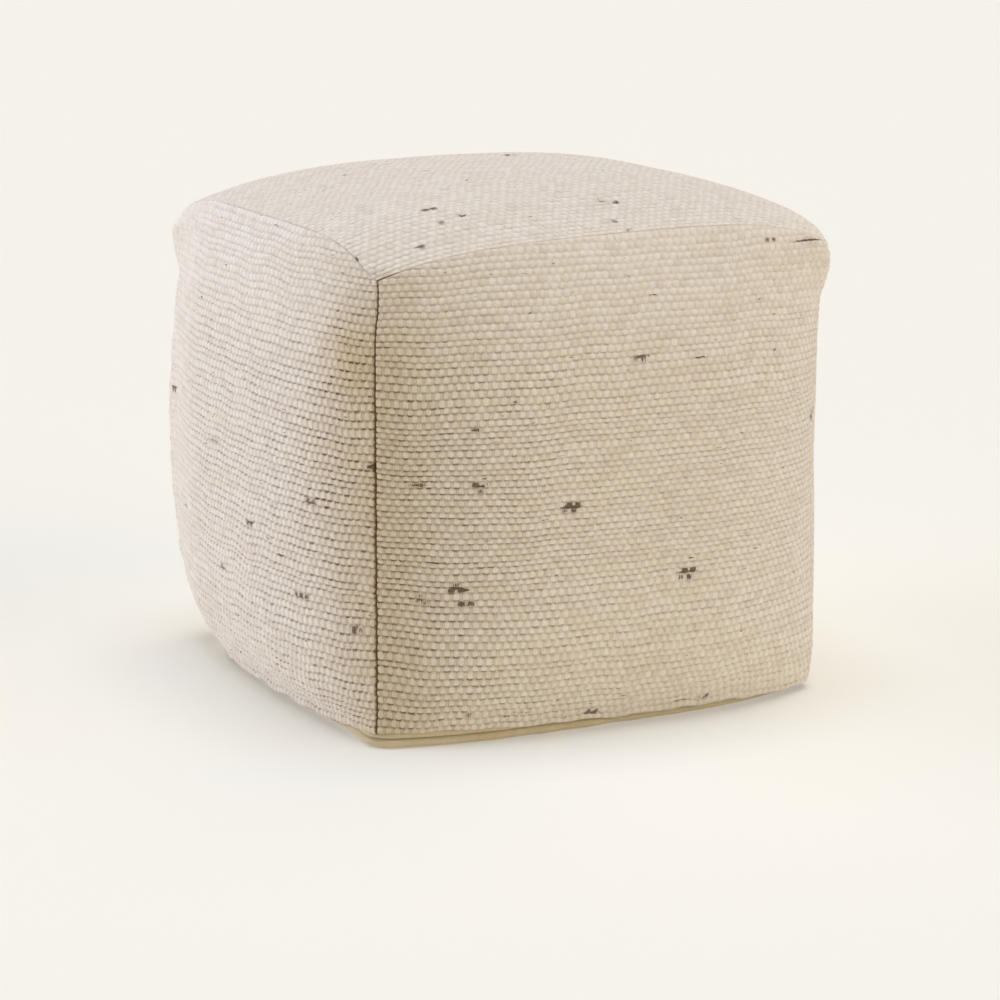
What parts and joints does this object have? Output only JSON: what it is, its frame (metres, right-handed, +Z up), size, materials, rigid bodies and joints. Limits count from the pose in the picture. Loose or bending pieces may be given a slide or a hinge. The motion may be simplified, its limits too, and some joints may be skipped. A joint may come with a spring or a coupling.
{
  "type": "cube pouf stool",
  "caption": "Cube pouf stool: a filled body in a thick handwoven wool cover, bellied on its top and sides, seamed along its edges, with a canvas band and a flat canvas base.",
  "frame": {"origin": "on the floor, under the middle of the flat base", "axes": "+Z up, -Y towards the front panel, +X towards the right panel as seen from the front"},
  "size_m": [0.5056, 0.5268, 0.457],
  "materials": {
    "woven_wool": "undyed handwoven wool, matt and fibrous, with brown flecks",
    "canvas": "plain-woven cotton canvas, matt"
  },
  "bodies": {
    "root": {"filled_body": "canvas", "canvas_band": "canvas", "front_panel": "woven_wool", "right_panel": "woven_wool", "back_panel": "woven_wool", "left_panel": "woven_wool", "top_panel": "woven_wool"}
  },
  "joints": []
}
